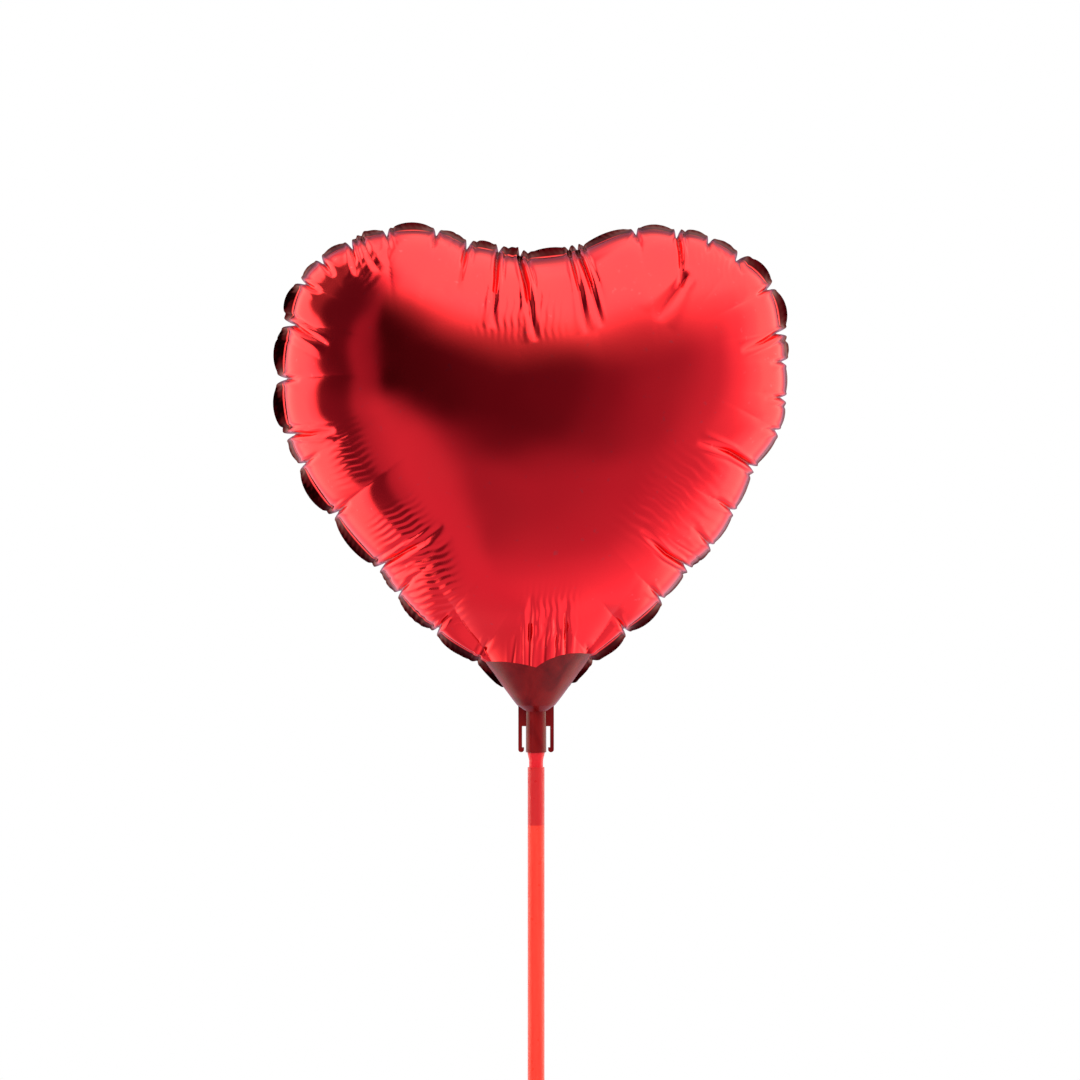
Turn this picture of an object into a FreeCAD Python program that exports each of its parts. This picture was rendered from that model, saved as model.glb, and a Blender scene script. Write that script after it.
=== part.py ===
"""Heart-shaped foil balloon, held by a petal cup on a hollow stick.

Millimetres, +Z up, the balloon's front facing -Y. The origin is the centre of the stick's lower end.
From the bottom: a hollow stick, a connector peg pushed into its top, a funnel-shaped cup that turns on
the peg, the balloon's gathered tail inside the cup, and two domed foil panels sealed at a flat margin.
"""
import FreeCAD, Part
import math
import os

import Sketcher
from FreeCAD import Placement, Rotation, Vector

doc = FreeCAD.newDocument("heart_balloon")

# ---------------------------------------------------------------- driving dimensions (mm)
SIZES = {
    # hollow stick and the peg in its top
    "stick_length": 320,
    "stick_radius": 3.0,
    "stick_bore_radius": 2.55,
    "peg_radius": 2.5,
    "peg_in_stick": 20.7,
    "peg_in_cup": 8.0,
    "peg_neck_length": 5.4,
    "peg_collar_radius": 3.1,
    "peg_collar_length": 2.9,
    "peg_chamfer": 0.4,
    "face_gap": 0.1,
    # cup: heights are measured from the lower end of its socket
    "socket_radius": 3.65,
    "socket_bore_radius": 2.55,
    "funnel_start": 14.6,
    "shoulder_height": 16.8,
    "shoulder_radius": 6.8,
    "rim_height": 36.6,
    "rim_radius": 22.9,
    "wall": 1.1,
    "notch_height": 30.7,
    "low_petal_height": 32.7,
    "high_petal_height": 35.8,
    "petal_reach": 14.6,
    "slot_floor": 18.2,
    "slot_half_width": 0.9,
    "slot_bend_half_width": 6.0,
    "slot_bend_height": 28.6,
    "slot_mouth_half_width": 9.5,
    "fin_radius": 6.35,
    "fin_thickness": 2.4,
    "fin_slit_height": 9.3,
    "fin_slit_radius": 5.0,
    "foot_height": 1.7,
    "foot_inner_radius": 4.3,
    # balloon: heights are again measured from the lower end of the socket
    "heart_half_width": 91.7,
    "heart_top": 188.5,
    "heart_point": 10.0,
    "heart_centre_height": 118.0,
    "dome_depth": 44.0,
    "seal_width": 4.5,
    "film": 0.3,
    "fold_height": 19.6,
    "fold_gap": 0.4,
    "tail_half_width": 5.6,
    "tail_half_depth": 0.7,
    "tail_bundle_radius": 2.1,
    "tail_bundle_top": 15.2,
    "tail_end": 9.0,
    "valve_film": 0.15,
    "valve_gap": 0.12,
    "valve_low": 22.0,
    "valve_high": 50.0,
    "valve_low_half_width": 2.0,
    "valve_high_half_width": 8.0,
}

sheet = doc.addObject("Spreadsheet::Sheet", "Sizes")
for row, (word, value) in enumerate(SIZES.items(), start=1):
    sheet.set("A%d" % row, word)
    sheet.set("B%d" % row, str(value))
    sheet.setAlias("B%d" % row, word)
doc.recompute()

CUP_BASE = "Sizes.stick_length + Sizes.peg_neck_length"


def size(word):
    """A driving dimension, read back from the sheet."""
    return float(getattr(sheet, word))


# ---------------------------------------------------------------- helpers
def place(part, height):
    """Stand a sub-part on the stick's axis, its own zero at this height expression."""
    part.Placement = Placement(Vector(0, 0, 0), Rotation())
    part.setExpression("Placement.Base.z", height)


def new_body(label, height):
    body = doc.addObject("PartDesign::Body", label)
    body.Label = label
    place(body, height)
    return body


def plane(body, role):
    return next(f for f in body.Origin.OriginFeatures if f.Role == role)


def new_sketch(body, role, name):
    sketch = body.newObject("Sketcher::SketchObject", name)
    sketch.AttachmentSupport = (plane(body, role), "")
    sketch.MapMode = "FlatFace"
    return sketch


def pin_point(sketch, edge, end, across, up):
    """Bind one end of an edge to two expressions, each measured from the sketch's origin."""
    for kind, axis, text in (("DistanceX", -2, across), ("DistanceY", -1, up)):
        value = float(sketch.evalExpression(text))
        if value == 0:
            sketch.addConstraint(Sketcher.Constraint("PointOnObject", edge, end, axis))
            continue
        number = sketch.addConstraint(Sketcher.Constraint(kind, -1, 1, edge, end, value))
        sketch.setExpression("Constraints[%d]" % number, text)


def outline(sketch, corners):
    """A closed outline through (across, up) expressions; a third item makes the edge that follows an
    arc through that (across, up) point."""
    spots = [Vector(*(float(sketch.evalExpression(text)) for text in corner[:2])) for corner in corners]
    edges = []
    for index, corner in enumerate(corners):
        start, end = spots[index], spots[(index + 1) % len(spots)]
        if len(corner) > 2:
            middle = Vector(*(float(sketch.evalExpression(text)) for text in corner[2]))
            arc = Part.ArcOfCircle(start, middle, end)
            edge = sketch.addGeometry(arc, False)
            forward = sketch.getPoint(edge, 1).distanceToPoint(start) < 1e-6
            edges.append((edge, 1 if forward else 2, 2 if forward else 1))
            radius = sketch.addConstraint(Sketcher.Constraint("Radius", edge, arc.Radius))
            sketch.renameConstraint(radius, "arc_%d" % index)
        else:
            edges.append((sketch.addGeometry(Part.LineSegment(start, end), False), 1, 2))
    for index, (edge, start, end) in enumerate(edges):
        after, after_start, _ = edges[(index + 1) % len(edges)]
        sketch.addConstraint(Sketcher.Constraint("Coincident", edge, end, after, after_start))
        pin_point(sketch, edge, start, *corners[index][:2])


def circle(sketch, radius):
    """A circle about the sketch's origin, its radius bound to an expression."""
    middle = Vector(0, 0, 0)
    value = float(sketch.evalExpression(radius))
    edge = sketch.addGeometry(Part.Circle(middle, Vector(0, 0, 1), value), False)
    sketch.addConstraint(Sketcher.Constraint("Coincident", edge, 3, -1, 1))
    number = sketch.addConstraint(Sketcher.Constraint("Radius", edge, value))
    sketch.setExpression("Constraints[%d]" % number, radius)


def revolve(body, sketch, name):
    feature = body.newObject("PartDesign::Revolution", name)
    feature.Profile = sketch
    feature.ReferenceAxis = (sketch, ["V_Axis"])
    feature.Angle = 360
    return feature


def pad(body, sketch, name, length, symmetric=False):
    feature = body.newObject("PartDesign::Pad", name)
    feature.Profile = sketch
    feature.setExpression("Length", length)
    feature.Midplane = symmetric
    return feature


def cut_through(body, sketch, name):
    """Cut a sketch's outline through the whole body, both ways from its plane."""
    doc.recompute()
    before = body.Shape.Volume
    feature = body.newObject("PartDesign::Pocket", name)
    feature.Profile = sketch
    feature.Type = "ThroughAll"
    feature.Midplane = True
    doc.recompute()
    if body.Shape.Volume > before - 1e-3:
        raise RuntimeError(name + " cuts nothing")
    return feature


# ---------------------------------------------------------------- stick and connector peg
def make_stick():
    """A plain hollow stick, open at both ends."""
    body = new_body("stick_tube", "0 * Sizes.stick_length")
    ring = new_sketch(body, "XY_Plane", "stick_ring")
    circle(ring, "Sizes.stick_radius")
    circle(ring, "Sizes.stick_bore_radius")
    pad(body, ring, "stick_length_pad", "Sizes.stick_length")


def make_peg():
    """A turned peg: a spigot for the stick, a tapered collar under the cup, a journal inside the cup."""
    body = new_body("connector_peg", CUP_BASE)
    low = "-Sizes.peg_neck_length - Sizes.peg_in_stick"
    profile = new_sketch(body, "XZ_Plane", "peg_profile")
    outline(profile, [
        ("0", low),
        ("Sizes.peg_radius - Sizes.peg_chamfer", low),
        ("Sizes.peg_radius", low + " + Sizes.peg_chamfer"),
        ("Sizes.peg_radius", "-Sizes.peg_collar_length"),
        ("Sizes.peg_collar_radius", "-2 * Sizes.face_gap"),
        ("Sizes.peg_collar_radius", "-Sizes.face_gap"),
        ("Sizes.peg_radius", "-Sizes.face_gap"),
        ("Sizes.peg_radius", "Sizes.peg_in_cup - Sizes.peg_chamfer"),
        ("Sizes.peg_radius - Sizes.peg_chamfer", "Sizes.peg_in_cup"),
        ("0", "Sizes.peg_in_cup"),
    ])
    revolve(body, profile, "peg_turned")


# ---------------------------------------------------------------- cup
def add_fins(body):
    """A flat fin on each side of the socket, slit beside it so that it hangs as a springy leg."""
    for side in (-1, 1):
        word = "left" if side < 0 else "right"
        sign = "%d * Sizes." % side
        root = "%d * 0.5 * (Sizes.socket_bore_radius + Sizes.socket_radius)" % side
        toe = "%d * 0.5 * (Sizes.foot_inner_radius + Sizes.fin_radius)" % side
        fin = new_sketch(body, "XZ_Plane", word + "_fin_outline")
        outline(fin, [
            (root, "Sizes.fin_slit_height"),
            (sign + "fin_slit_radius", "Sizes.fin_slit_height"),
            (sign + "fin_slit_radius", "Sizes.foot_height"),
            (sign + "foot_inner_radius", "Sizes.foot_height"),
            (sign + "foot_inner_radius", "0.5 * Sizes.foot_height", (toe, "0")),
            (sign + "fin_radius", "0.5 * Sizes.foot_height"),
            (sign + "fin_radius", "Sizes.shoulder_height"),
            (root, "Sizes.funnel_start"),
        ])
        pad(body, fin, word + "_fin", "Sizes.fin_thickness", symmetric=True)


def make_cup():
    """A socket that turns on the peg, opening upwards into a funnel whose rim is cut into petals."""
    body = new_body("petal_cup", CUP_BASE)
    profile = new_sketch(body, "XZ_Plane", "cup_profile")
    outline(profile, [
        ("Sizes.socket_bore_radius", "0"),
        ("Sizes.socket_radius", "0"),
        ("Sizes.socket_radius", "Sizes.funnel_start"),
        ("Sizes.shoulder_radius", "Sizes.shoulder_height"),
        ("Sizes.rim_radius", "Sizes.rim_height"),
        ("Sizes.rim_radius - 1.3 * Sizes.wall", "Sizes.rim_height"),
        ("Sizes.shoulder_radius - 1.5 * Sizes.wall", "Sizes.shoulder_height"),
        ("Sizes.socket_bore_radius", "Sizes.funnel_start"),
    ])
    revolve(body, profile, "cup_turned")
    add_fins(body)

    above = "Sizes.rim_height + 5"
    beyond = "Sizes.rim_radius + 3"
    petals = new_sketch(body, "XZ_Plane", "petal_line")
    outline(petals, [
        ("-(" + beyond + ")", above),
        ("-(" + beyond + ")", "Sizes.low_petal_height - 1.6",
         ("-Sizes.petal_reach", "Sizes.low_petal_height")),
        ("0", "Sizes.notch_height",
         ("Sizes.petal_reach", "Sizes.high_petal_height")),
        (beyond, "Sizes.high_petal_height - 3.0"),
        (beyond, above),
    ])
    cut_through(body, petals, "petal_cut")

    slots = new_sketch(body, "YZ_Plane", "side_slot_outline")
    outline(slots, [
        ("-Sizes.slot_half_width", "Sizes.slot_floor"),
        ("Sizes.slot_half_width", "Sizes.slot_floor"),
        ("Sizes.slot_bend_half_width", "Sizes.slot_bend_height",
         ("0.7 * Sizes.slot_bend_half_width + 0.3 * Sizes.slot_mouth_half_width",
          "Sizes.slot_bend_height + 3.1")),
        ("Sizes.slot_mouth_half_width", "Sizes.slot_bend_height + 6.0"),
        ("Sizes.slot_mouth_half_width", above),
        ("-Sizes.slot_mouth_half_width", above),
        ("-Sizes.slot_mouth_half_width", "Sizes.slot_bend_height + 6.0",
         ("-(0.7 * Sizes.slot_bend_half_width + 0.3 * Sizes.slot_mouth_half_width)",
          "Sizes.slot_bend_height + 3.1")),
        ("-Sizes.slot_bend_half_width", "Sizes.slot_bend_height"),
    ])
    cut_through(body, slots, "side_slots")


# ---------------------------------------------------------------- tail
def make_tail():
    """The balloon's tail: flat where it leaves the panels, gathered into a round bundle below."""
    body = new_body("foil_tail", CUP_BASE)
    bundle = new_sketch(body, "XY_Plane", "tail_bundle")
    bundle.setExpression("AttachmentOffset.Base.z", "Sizes.tail_end")
    circle(bundle, "Sizes.tail_bundle_radius")
    pad(body, bundle, "tail_bundle_pad", "Sizes.tail_bundle_top - Sizes.tail_end")

    low = new_sketch(body, "XY_Plane", "tail_gather_low")
    low.setExpression("AttachmentOffset.Base.z", "Sizes.tail_bundle_top")
    circle(low, "Sizes.tail_bundle_radius")
    high = new_sketch(body, "XY_Plane", "tail_gather_high")
    high.setExpression("AttachmentOffset.Base.z", "Sizes.fold_height - Sizes.fold_gap")
    outline(high, [
        ("-Sizes.tail_half_width", "-Sizes.tail_half_depth"),
        ("Sizes.tail_half_width", "-Sizes.tail_half_depth"),
        ("Sizes.tail_half_width", "Sizes.tail_half_depth"),
        ("-Sizes.tail_half_width", "Sizes.tail_half_depth"),
    ])
    gather = body.newObject("PartDesign::AdditiveLoft", "tail_gather")
    gather.Profile = low
    gather.Sections = [high]


# ---------------------------------------------------------------- foil panels
# The right half of the sealed margin's outer edge, from the dip between the lobes round to the point:
# fractions of the half width, and of the height from the point to the top of the lobes.
HEART_EDGE = (
    (0.00, 0.958), (0.24, 0.972), (0.50, 1.000), (0.775, 0.957), (0.935, 0.850), (1.00, 0.665),
    (0.90, 0.520), (0.74, 0.385), (0.51, 0.255), (0.30, 0.145), (0.12, 0.062), (0.00, 0.020),
)
EDGE_SAMPLES = 72
DOME_STEPS = 10


def heart_edge(inset):
    """Points round the margin's edge, evenly spaced and moved inwards by inset."""
    wide, low = size("heart_half_width"), size("heart_point")
    tall = size("heart_top") - low
    right = [Vector(wide * x, 0, low + tall * z) for x, z in HEART_EDGE]
    left = [Vector(-p.x, 0, p.z) for p in reversed(right[1:-1])]
    curve = Part.BSplineCurve()
    curve.interpolate(Points=right + left, PeriodicFlag=True)
    points = []
    for number in range(EDGE_SAMPLES):
        share = curve.FirstParameter + (curve.LastParameter - curve.FirstParameter) * number / EDGE_SAMPLES
        along = curve.tangent(share)[0]
        inward = Vector(along.z, 0, -along.x) * inset
        points.append(curve.value(share) + inward)
    return points


def closed_spline(points):
    curve = Part.BSplineCurve()
    curve.interpolate(Points=points, PeriodicFlag=True)
    return Part.Wire(curve.toShape())


def dome(inset, depth):
    """A closed dome on the inset heart, bulging towards -Y, flatter towards the point and the dip."""
    centre = Vector(0, 0, size("heart_centre_height"))
    rings = []
    for step in range(DOME_STEPS):
        rise = math.sin(math.radians(84.5) * step / (DOME_STEPS - 1))
        ring = []
        for edge in heart_edge(inset):
            arm = edge - centre
            turn = math.degrees(math.atan2(arm.x, -arm.z))
            point_pull = math.exp(-((turn / 30) ** 2))
            dip_pull = math.exp(-(((180 - abs(turn)) / 22) ** 2))
            steepness = 0.52 + 0.75 * point_pull + 0.15 * dip_pull
            fullness = 2.3 - 0.7 * point_pull
            shrink = (1 - rise ** (1 / steepness)) ** (1 / fullness)
            spot = centre + arm * shrink
            ring.append(Vector(spot.x, -depth * rise, spot.z))
        rings.append(closed_spline(ring))
    return Part.makeLoft(rings, True)


def front_panel_shape():
    """A thin dome with its half of the flat sealed margin, cut off at the fold above the tail."""
    film = size("film")
    outer = dome(size("seal_width"), size("dome_depth"))
    hollow = dome(size("seal_width") + film, size("dome_depth") - film)
    margin = Part.Face(closed_spline(heart_edge(0)))
    opening = Part.Face(closed_spline(heart_edge(size("seal_width") + film)))
    margin_plate = margin.cut(opening).extrude(Vector(0, -film, 0))
    whole = outer.cut(hollow).fuse(margin_plate)
    reach = 2 * size("heart_half_width")
    below = Part.makeBox(2 * reach, 2 * reach, reach, Vector(-reach, -reach, size("fold_height") - reach))
    return whole.cut(below)


def make_panels():
    front = front_panel_shape()
    back = front.mirror(Vector(0, 0, 0), Vector(0, 1, 0))
    for label, shape in (("front_foil_panel", front), ("back_foil_panel", back)):
        panel = doc.addObject("Part::Feature", label)
        panel.Label = label
        panel.Shape = shape.Solids[0]
        place(panel, CUP_BASE)


def make_valve_films():
    """Two clear strips in the throat, which close on each other and keep the air in."""
    for label, side in (("valve_front_film", -1), ("valve_back_film", 1)):
        body = new_body(label, CUP_BASE)
        strip = new_sketch(body, "XZ_Plane", label + "_outline")
        near = "%d * Sizes.valve_gap" % -side
        strip.setExpression("AttachmentOffset.Base.z", near)
        outline(strip, [
            ("-Sizes.valve_low_half_width", "Sizes.valve_low"),
            ("Sizes.valve_low_half_width", "Sizes.valve_low"),
            ("Sizes.valve_high_half_width", "Sizes.valve_high"),
            ("-Sizes.valve_high_half_width", "Sizes.valve_high"),
        ])
        film = pad(body, strip, label + "_pad", "Sizes.valve_film")
        film.Reversed = side > 0


make_stick()
make_peg()
make_cup()
make_tail()
make_panels()
make_valve_films()
doc.recompute()

# ---------------------------------------------------------------- checks and files
for thing in doc.Objects:
    if {"Invalid", "Error"} & set(thing.State):
        raise RuntimeError("%s is %s" % (thing.Name, thing.State))

os.makedirs("parts", exist_ok=True)
NODES = (
    "stick_tube", "connector_peg", "petal_cup", "foil_tail",
    "front_foil_panel", "back_foil_panel", "valve_front_film", "valve_back_film",
)
for node in NODES:
    part = doc.getObjectsByLabel(node)[0]
    if part.Shape.isNull() or not part.Shape.isValid():
        raise RuntimeError(node + " has no valid shape")
    part.Shape.exportStep("parts/%s.step" % node)
    box = part.Shape.BoundBox
    print("%-18s solids %d  volume %9.2f  x %7.2f %7.2f  y %7.2f %7.2f  z %7.2f %7.2f" % (
        node, len(part.Shape.Solids), part.Shape.Volume,
        box.XMin, box.XMax, box.YMin, box.YMax, box.ZMin, box.ZMax))
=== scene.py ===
"""Heart foil balloon on a stick: the visual model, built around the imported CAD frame."""

import math

import bpy
import numpy as np
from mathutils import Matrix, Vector, kdtree


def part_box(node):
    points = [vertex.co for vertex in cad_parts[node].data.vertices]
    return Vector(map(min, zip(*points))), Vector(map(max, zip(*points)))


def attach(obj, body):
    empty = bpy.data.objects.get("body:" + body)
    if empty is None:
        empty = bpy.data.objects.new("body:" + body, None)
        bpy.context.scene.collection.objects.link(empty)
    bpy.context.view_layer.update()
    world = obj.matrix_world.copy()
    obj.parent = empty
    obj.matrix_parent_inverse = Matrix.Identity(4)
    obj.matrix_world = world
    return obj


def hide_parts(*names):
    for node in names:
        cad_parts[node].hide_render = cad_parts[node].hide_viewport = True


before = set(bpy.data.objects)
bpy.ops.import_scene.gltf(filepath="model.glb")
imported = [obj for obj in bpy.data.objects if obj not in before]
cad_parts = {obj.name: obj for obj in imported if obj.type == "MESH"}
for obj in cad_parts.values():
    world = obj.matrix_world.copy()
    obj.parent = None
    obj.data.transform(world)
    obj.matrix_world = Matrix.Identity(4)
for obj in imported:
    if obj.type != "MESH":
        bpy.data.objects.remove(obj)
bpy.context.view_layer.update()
MM = 0.001
RNG = np.random.default_rng(7)

# ---------------------------------------------------------------- camera
SCENE = bpy.context.scene
PANEL_LOW, PANEL_HIGH = (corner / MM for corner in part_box("front_foil_panel"))
TIP_HEIGHT = PANEL_LOW.z
DEPTH = -PANEL_LOW.y
VIEW_DISTANCE = 1.6
VIEW_WIDTH = 0.3856     # what the view takes in at the balloon, m
VIEW_SIDE = 0.0014      # how far the camera stands to the right of the stick, m
FRAME_DROP = 112.8      # mm from the balloon's top down to the middle of the view

camera_data = bpy.data.cameras.new("view")
camera_data.lens = camera_data.sensor_width * VIEW_DISTANCE / VIEW_WIDTH
camera = bpy.data.objects.new("view", camera_data)
camera.location = (VIEW_SIDE, -VIEW_DISTANCE, (PANEL_HIGH.z - FRAME_DROP) * MM)
camera.rotation_euler = (math.radians(90), 0, 0)
SCENE.collection.objects.link(camera)
SCENE.camera = camera
SCENE.view_settings.view_transform = "Standard"

# ---------------------------------------------------------------- the heart's rim
# Where the rim is pinched, in mm from the middle and up from the point, clockwise from the dip as seen
# from the front. The last number is how much of the sealed margin shows past the pillow that follows.
PINCHES = (
    (-13.2, 158.5, 0.75), (-4.3, 156.2, 0.75), (14.3, 158.2, 0.60), (35.7, 165.7, 0.50),
    (50.3, 165.0, 0.50), (61.8, 162.5, 0.52), (71.8, 156.4, 0.78), (82.8, 145.7, 0.75),
    (86.8, 130.3, 0.45), (88.2, 120.0, 0.22), (88.2, 107.1, 0.20), (86.0, 95.4, 0.28),
    (77.1, 82.4, 0.24), (70.0, 66.8, 0.24), (62.2, 54.7, 0.34), (53.8, 46.9, 0.30),
    (44.3, 35.7, 0.66), (31.4, 24.4, 0.70), (19.2, 14.6, 0.30), (9.0, 8.0, 0.95),
    (0.0, 5.2, 0.95), (-9.0, 7.6, 0.25), (-20.0, 14.4, 0.66), (-35.0, 24.7, 0.62),
    (-48.6, 37.9, 0.42), (-55.0, 47.2, 0.74), (-71.0, 66.1, 0.85), (-82.8, 83.6, 0.45),
    (-87.1, 93.9, 0.88), (-89.4, 113.9, 0.88), (-87.1, 133.2, 0.82), (-82.8, 147.8, 0.45),
    (-76.4, 155.3, 0.52), (-66.0, 161.0, 0.56), (-53.6, 165.0, 0.68), (-35.7, 165.2, 0.52),
    (-24.6, 160.8, 0.66),
)
HEART_CENTRE = np.array((0.0, 92.0))
COLUMNS = 1480          # mesh columns round the rim
RINGS = 106             # mesh rings from the rim to the middle
RING_CROWDING = 1.4     # above 1, the rings lie closer together near the rim
CURVE_STEPS = 48        # samples of the rim's curve from one pinch to the next
NORMAL_REACH = 4        # columns to each side that the rim's direction is taken from
COARSE_COLUMNS, COARSE_RINGS = 296, 44      # the mesh that the smooth dome is solved on
MARGIN = 5.0            # width of the sealed margin, mm
MARGIN_STEPS = 6        # mesh rings across the margin


def closed_curve(points, steps):
    """A smooth closed curve through the points, as dense samples."""
    before, after = np.roll(points, 1, 0), np.roll(points, -1, 0)
    beyond = np.roll(points, -2, 0)
    t = (np.arange(steps) / steps)[None, :, None]
    a, b, c, d = (p[:, None, :] for p in (before, points, after, beyond))
    curve = 0.5 * (2 * b + (c - a) * t + (2 * a - 5 * b + 4 * c - d) * t ** 2
                   + (3 * b - a - 3 * c + d) * t ** 3)
    return curve.reshape(-1, points.shape[1])


def rim():
    """The rim: evenly spaced places, their outward normals, its length and where each pillow starts."""
    dense = closed_curve(np.array([pinch[:2] for pinch in PINCHES]), CURVE_STEPS)
    run = np.concatenate(([0.0], np.cumsum(np.linalg.norm(np.roll(dense, -1, 0) - dense, axis=1))))
    length = run[-1]
    starts = run[:-1:CURVE_STEPS]
    here = np.arange(COLUMNS) * length / COLUMNS
    closed = np.vstack((dense, dense[:1]))
    place = np.stack([np.interp(here, run, closed[:, k]) for k in (0, 1)], 1)
    ahead = np.roll(place, -NORMAL_REACH, 0) - np.roll(place, NORMAL_REACH, 0)
    ahead /= np.linalg.norm(ahead, axis=1)[:, None]
    outward = np.stack((-ahead[:, 1], ahead[:, 0]), 1)
    return place, outward, length, starts


RIM, RIM_OUT, RIM_LENGTH, PILLOW_START = rim()
SPAN = np.diff(np.append(PILLOW_START, RIM_LENGTH))
SHOWN = np.array([pinch[2] for pinch in PINCHES])


def pillow_at(run):
    """For places along the rim: the pillow's number and the share of the way through it."""
    run = np.mod(run, RIM_LENGTH)
    number = np.clip(np.searchsorted(PILLOW_START, run, side="right") - 1, 0, len(SPAN) - 1)
    return number, np.clip((run - PILLOW_START[number]) / SPAN[number], 0, 1)


# ---------------------------------------------------------------- how the film fills out
SOLVER_STEPS = 900      # at most this many steps of the conjugate-gradient solver
SOLVER_END = 1e-12      # stops it once what is left per point is this small


def inflated_share(columns, rings):
    """Solves for the pressed-out height over the heart (a soap-film problem), on a coarse polar mesh.

    Returns the rings' share of the way out to the rim, the heights ring by ring and the middle's height.
    """
    stride = COLUMNS // columns
    edge = RIM[::stride]
    share = np.linspace(1, 0, rings + 1)[:-1]
    spots = HEART_CENTRE + (edge[None] - HEART_CENTRE) * share[:, None, None]
    spots = np.vstack((spots.reshape(-1, 2), HEART_CENTRE[None]))
    number = np.arange(rings * columns).reshape(rings, columns)
    a, b = number[:-1], np.roll(number[:-1], -1, 1)
    c, d = number[1:], np.roll(number[1:], -1, 1)
    faces = [np.stack((a, b, c), -1).reshape(-1, 3), np.stack((b, d, c), -1).reshape(-1, 3)]
    last = number[-1]
    middle = np.full_like(last, rings * columns)
    faces.append(np.stack((last, np.roll(last, -1), middle), -1))
    faces = np.vstack(faces)
    i_all, j_all, w_all = [], [], []
    load = np.zeros(len(spots))
    for k in range(3):
        i, j, o = faces[:, k], faces[:, (k + 1) % 3], faces[:, (k + 2) % 3]
        p, q = spots[i] - spots[o], spots[j] - spots[o]
        cross = np.abs(p[:, 0] * q[:, 1] - p[:, 1] * q[:, 0])
        i_all.append(i)
        j_all.append(j)
        w_all.append(0.5 * (p * q).sum(1) / cross)
        load += np.bincount(o, cross / 6, len(spots))
    i, j, w = (np.concatenate(x) for x in (i_all, j_all, w_all))
    total = np.bincount(i, w, len(spots)) + np.bincount(j, w, len(spots))
    free = np.ones(len(spots), bool)
    free[:columns] = False

    def stiffness(x):
        return total * x - np.bincount(i, w * x[j], len(spots)) - np.bincount(j, w * x[i], len(spots))

    x = np.zeros(len(spots))
    left = np.where(free, load, 0)
    scaled = left / total
    step = scaled.copy()
    energy = left @ scaled
    for _ in range(SOLVER_STEPS):
        push = np.where(free, stiffness(step), 0)
        size = energy / (step @ push)
        x += size * step
        left -= size * push
        scaled = left / total
        fresh = left @ scaled
        if fresh < SOLVER_END * len(x):
            break
        step = scaled + fresh / energy * step
        energy = fresh
    return share, x[:-1].reshape(rings, columns), x[-1]


def spline_rows(knots, rows, at):
    """Natural cubic spline down the first axis of rows."""
    gap = np.diff(knots)
    n = len(knots)
    system = np.eye(n)
    right = np.zeros_like(rows)
    for k in range(1, n - 1):
        system[k, k - 1:k + 2] = gap[k - 1], 2 * (gap[k - 1] + gap[k]), gap[k]
        right[k] = 6 * ((rows[k + 1] - rows[k]) / gap[k] - (rows[k] - rows[k - 1]) / gap[k - 1])
    bend = np.linalg.solve(system, right)
    k = np.clip(np.searchsorted(knots, at, side="right") - 1, 0, n - 2)
    g = gap[k][:, None]
    a = (knots[k + 1] - at)[:, None] / g
    b = 1 - a
    return (a * rows[k] + b * rows[k + 1]
            + ((a ** 3 - a) * bend[k] + (b ** 3 - b) * bend[k + 1]) * g ** 2 / 6)


# The cup's inside as the film sees it, in mm and mm per mm above the balloon's point.
FUNNEL_FOOT, FUNNEL_FLARE = 6.4, 0.84
WALL_SHARE, WALL_LEAN = 0.80, 0.17
SLOT_FOOT, SLOT_FLARE = 0.8, 0.22
LEAST_DEPTH = 0.4
CUP_TOP, CUP_SOFTNESS, OPENING_FLARE = 27, 4, 1.6


def cup_limit(plan):
    """How far out the film may stand so that it keeps clear of the cup: no limit well above the cup.

    In the middle the funnel's wall sets it, and towards the sides the edges of the cup's slots do.
    """
    across, above = plan[..., 0], plan[..., 1]
    funnel = FUNNEL_FOOT + FUNNEL_FLARE * above
    wall = WALL_SHARE * np.sqrt((funnel ** 2 - across ** 2).clip(0)) - WALL_LEAN * above
    slot = SLOT_FOOT + SLOT_FLARE * above
    opening = CUP_SOFTNESS * np.log1p(np.exp((above - CUP_TOP) / CUP_SOFTNESS))
    return np.maximum(wall, slot).clip(LEAST_DEPTH) + OPENING_FLARE * opening


def dome_grid():
    """The smooth dome: places in the heart's plane and heights out of it, rings by columns, rim first."""
    share, heights, top = inflated_share(COARSE_COLUMNS, COARSE_RINGS)
    wave = np.fft.rfft(heights, axis=1)
    wide = np.zeros((len(share), COLUMNS // 2 + 1), complex)
    wide[:, :wave.shape[1]] = wave
    heights = np.fft.irfft(wide, COLUMNS, axis=1) * COLUMNS / COARSE_COLUMNS
    heights = np.vstack((heights, np.full((1, COLUMNS), top)))
    knots = np.append(1 - share, 1.0)
    inward = np.linspace(0, 1, RINGS + 1) ** RING_CROWDING
    heights = np.maximum(spline_rows(knots, heights, inward), 0)
    heights[0] = 0
    heights = np.sqrt(heights)
    heights *= DEPTH / heights.max()
    plan = HEART_CENTRE + (RIM[None] - HEART_CENTRE) * (1 - inward)[:, None, None]
    # A soft minimum of the dome and the limit.
    heights = (heights.clip(1e-6) ** -6 + cup_limit(plan) ** -6) ** (-1 / 6)
    heights[0] = 0
    return plan, heights


def rim_coordinates(plan):
    """Each point's nearest place along the rim and its distance from it."""
    tree = kdtree.KDTree(COLUMNS)
    for number, spot in enumerate(RIM):
        tree.insert((spot[0], spot[1], 0), number)
    tree.balance()
    flat = plan.reshape(-1, 2)
    near = np.array([tree.find((x, z, 0))[1] for x, z in flat])
    along = np.stack((RIM_OUT[near][:, 1], -RIM_OUT[near][:, 0]), 1)
    off = flat - RIM[near]
    run = near * RIM_LENGTH / COLUMNS + (off * along).sum(1)
    away = np.abs((off * RIM_OUT[near]).sum(1))
    return run.reshape(plan.shape[:2]), away.reshape(plan.shape[:2])


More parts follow.
